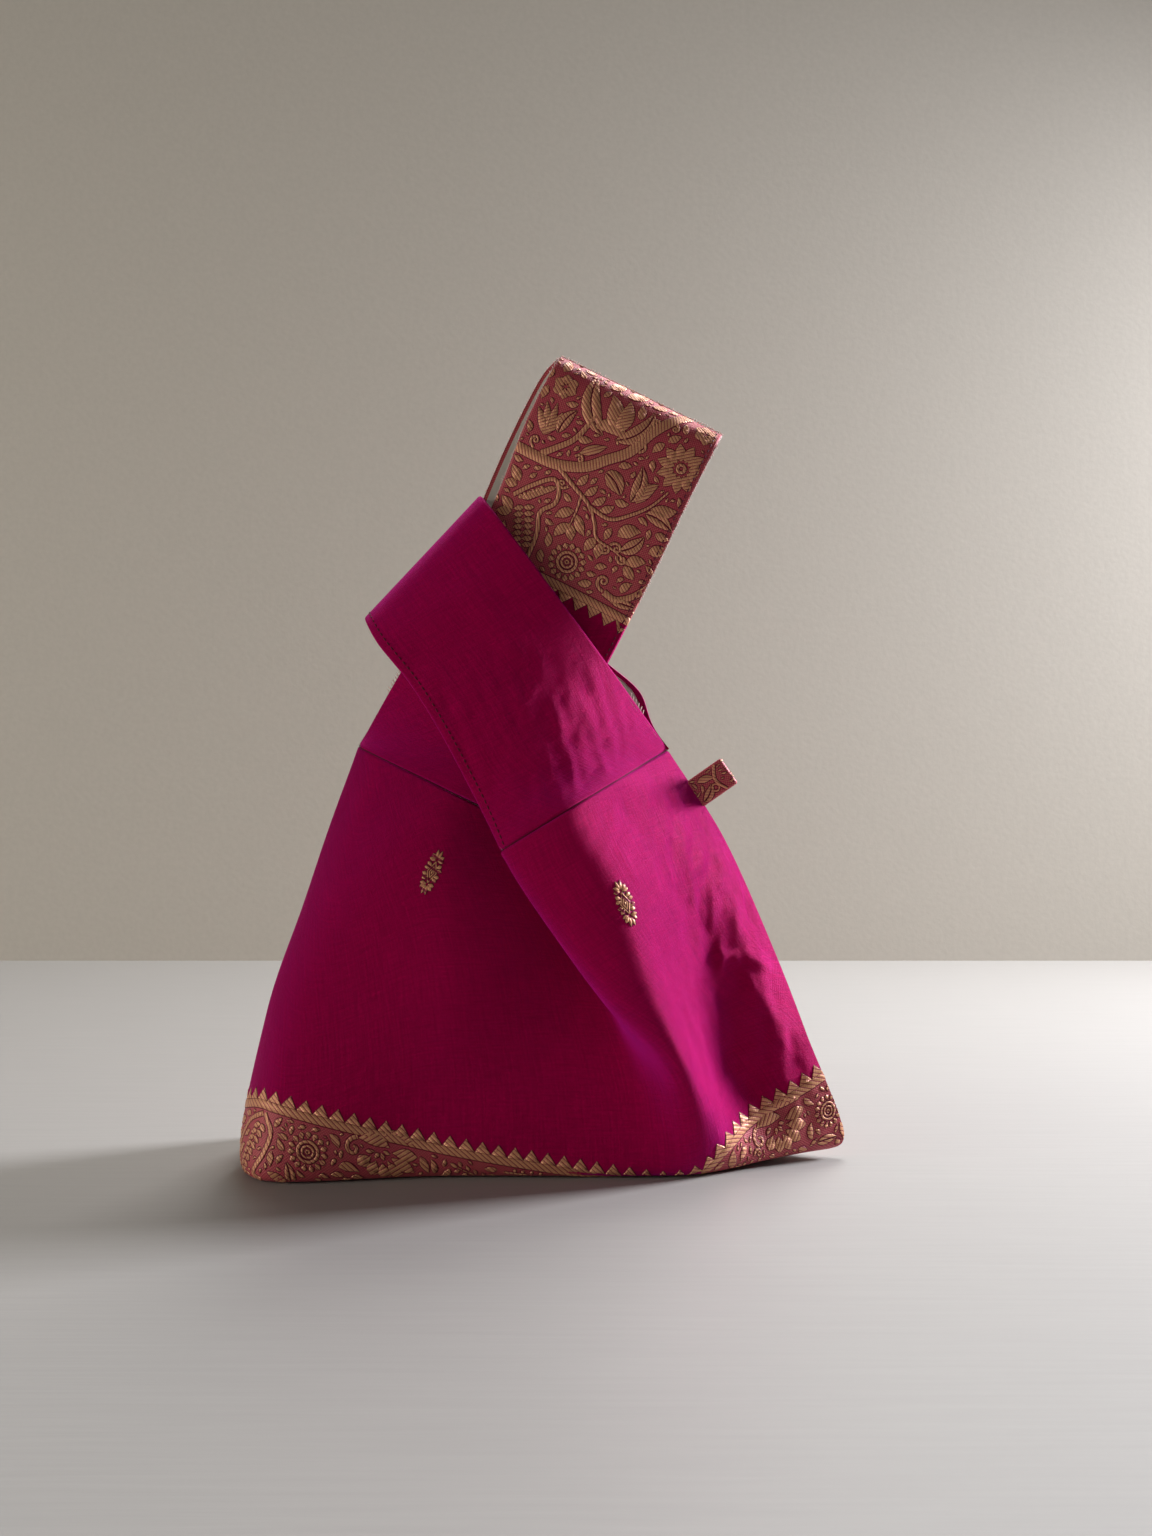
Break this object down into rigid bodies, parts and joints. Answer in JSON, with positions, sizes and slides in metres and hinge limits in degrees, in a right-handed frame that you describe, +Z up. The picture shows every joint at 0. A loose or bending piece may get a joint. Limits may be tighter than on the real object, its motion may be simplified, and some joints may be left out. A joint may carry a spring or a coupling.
{
  "type": "knot bag",
  "caption": "Soft silk knot bag: a long wide strap is drawn through a shorter strap to close the gathered body, with a woven gold border and a small side tab.",
  "frame": {"origin": "middle of the bag's bounding box, on the floor plane under the bag", "axes": "+X across the bag from the long-strap side to the short-strap side, -Y out of the front, +Z up towards the carrying loop"},
  "size_m": [0.2476, 0.0904, 0.3341],
  "materials": {
    "magenta_silk": "soft sheen",
    "gold_brocade": "woven gold thread on maroon",
    "beige_lining": "matte"
  },
  "bodies": {
    "root": {"body_front": "magenta_silk", "body_back": "magenta_silk", "long_strap_front": "gold_brocade", "long_strap_back": "gold_brocade", "short_strap": "magenta_silk", "lining_front": "beige_lining", "lining_back": "beige_lining", "long_strap_lining_front": "beige_lining", "long_strap_lining_back": "beige_lining", "short_strap_lining": "beige_lining", "side_tab": "gold_brocade"}
  },
  "joints": []
}
